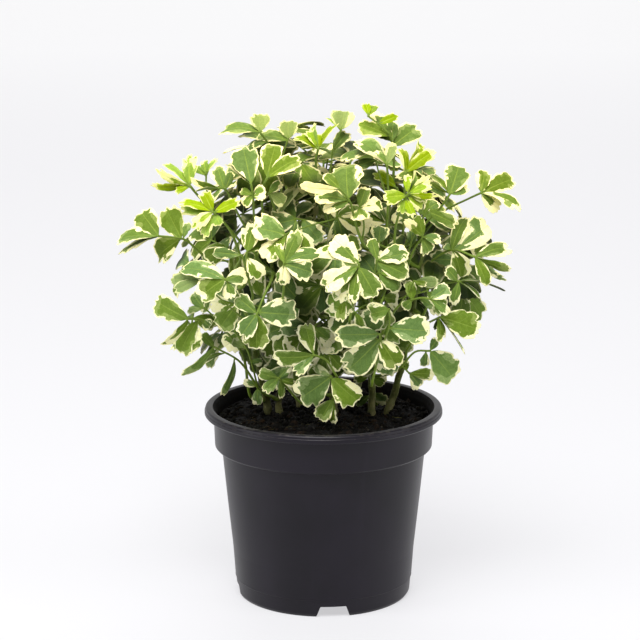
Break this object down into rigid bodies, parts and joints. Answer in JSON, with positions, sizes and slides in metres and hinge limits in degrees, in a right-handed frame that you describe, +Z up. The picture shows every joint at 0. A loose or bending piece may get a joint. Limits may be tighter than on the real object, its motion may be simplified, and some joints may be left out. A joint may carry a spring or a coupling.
{
  "type": "potted plant",
  "caption": "Variegated aralia with fan-shaped, cream-edged leaflets in a round black nursery pot; a small foliage plant that stands on a table or shelf.",
  "frame": {"origin": "centre of the pot's foot, in the plane that the pot stands on; the pot's axis is the Z axis", "axes": "+Z up along the pot's axis, -Y towards the side seen in the picture, +X to the right in the picture"},
  "size_m": [0.1678, 0.1343, 0.2151],
  "materials": {
    "pot_plastic": "satin",
    "potting_soil": "matte",
    "stem_bark": "matte",
    "leaf_variegated": "satin",
    "leaf_lime": "satin"
  },
  "bodies": {
    "root": {"leaf_basal_right": "leaf_variegated", "leaf_centre_left": "leaf_variegated", "leaf_centre_right": "leaf_variegated", "leaf_front_bottom": "leaf_variegated", "leaf_front_centre": "leaf_variegated", "leaf_front_low_left": "leaf_variegated", "leaf_front_low_right": "leaf_variegated", "leaf_inner_left": "leaf_variegated", "leaf_left_low": "leaf_variegated", "leaf_left_lower": "leaf_variegated", "leaf_left_mid": "leaf_variegated", "leaf_left_outer": "leaf_variegated", "leaf_left_upper_mid": "leaf_variegated", "leaf_low_left_pair": "leaf_variegated", "leaf_low_left_small": "leaf_variegated", "leaf_right_bottom": "leaf_variegated", "leaf_right_inner": "leaf_variegated", "leaf_right_low": "leaf_variegated", "leaf_right_lower_outer": "leaf_variegated", "leaf_right_mid": "leaf_variegated", "leaf_right_mid_low": "leaf_variegated", "leaf_right_outer": "leaf_variegated", "leaf_right_upper": "leaf_variegated", "leaf_top_centre": "leaf_variegated", "leaf_top_left": "leaf_variegated", "leaf_top_right": "leaf_variegated", "leaf_top_right_inner": "leaf_variegated", "leaf_upper_centre": "leaf_variegated", "leaf_upper_left": "leaf_variegated", "leaf_upper_left_far": "leaf_variegated", "leaf_upper_left_outer": "leaf_variegated", "pot": "pot_plastic", "shoot_back_left": "leaf_variegated", "shoot_back_left_low": "leaf_variegated", "shoot_back_low": "leaf_variegated", "shoot_back_mid": "leaf_variegated", "shoot_back_right": "leaf_variegated", "shoot_back_right_low": "leaf_variegated", "shoot_back_top": "leaf_variegated", "shoot_inner_left": "leaf_variegated", "shoot_inner_low_left": "leaf_variegated", "shoot_inner_low_right": "leaf_variegated", "shoot_inner_lower": "leaf_variegated", "shoot_inner_right": "leaf_variegated", "shoot_inner_upper": "leaf_variegated", "shoot_lime_far_left": "leaf_lime", "shoot_lime_left": "leaf_lime", "shoot_lime_right": "leaf_lime", "shoot_lime_top": "leaf_lime", "shoot_side_left": "leaf_variegated", "shoot_side_right": "leaf_variegated", "shoot_top": "leaf_variegated", "soil": "potting_soil", "stem_back_left": "stem_bark", "stem_back_right": "stem_bark", "stem_centre": "stem_bark", "stem_left_front": "stem_bark", "stem_left_inner": "stem_bark", "stem_right_front": "stem_bark", "stem_right_inner": "stem_bark"}
  },
  "joints": []
}
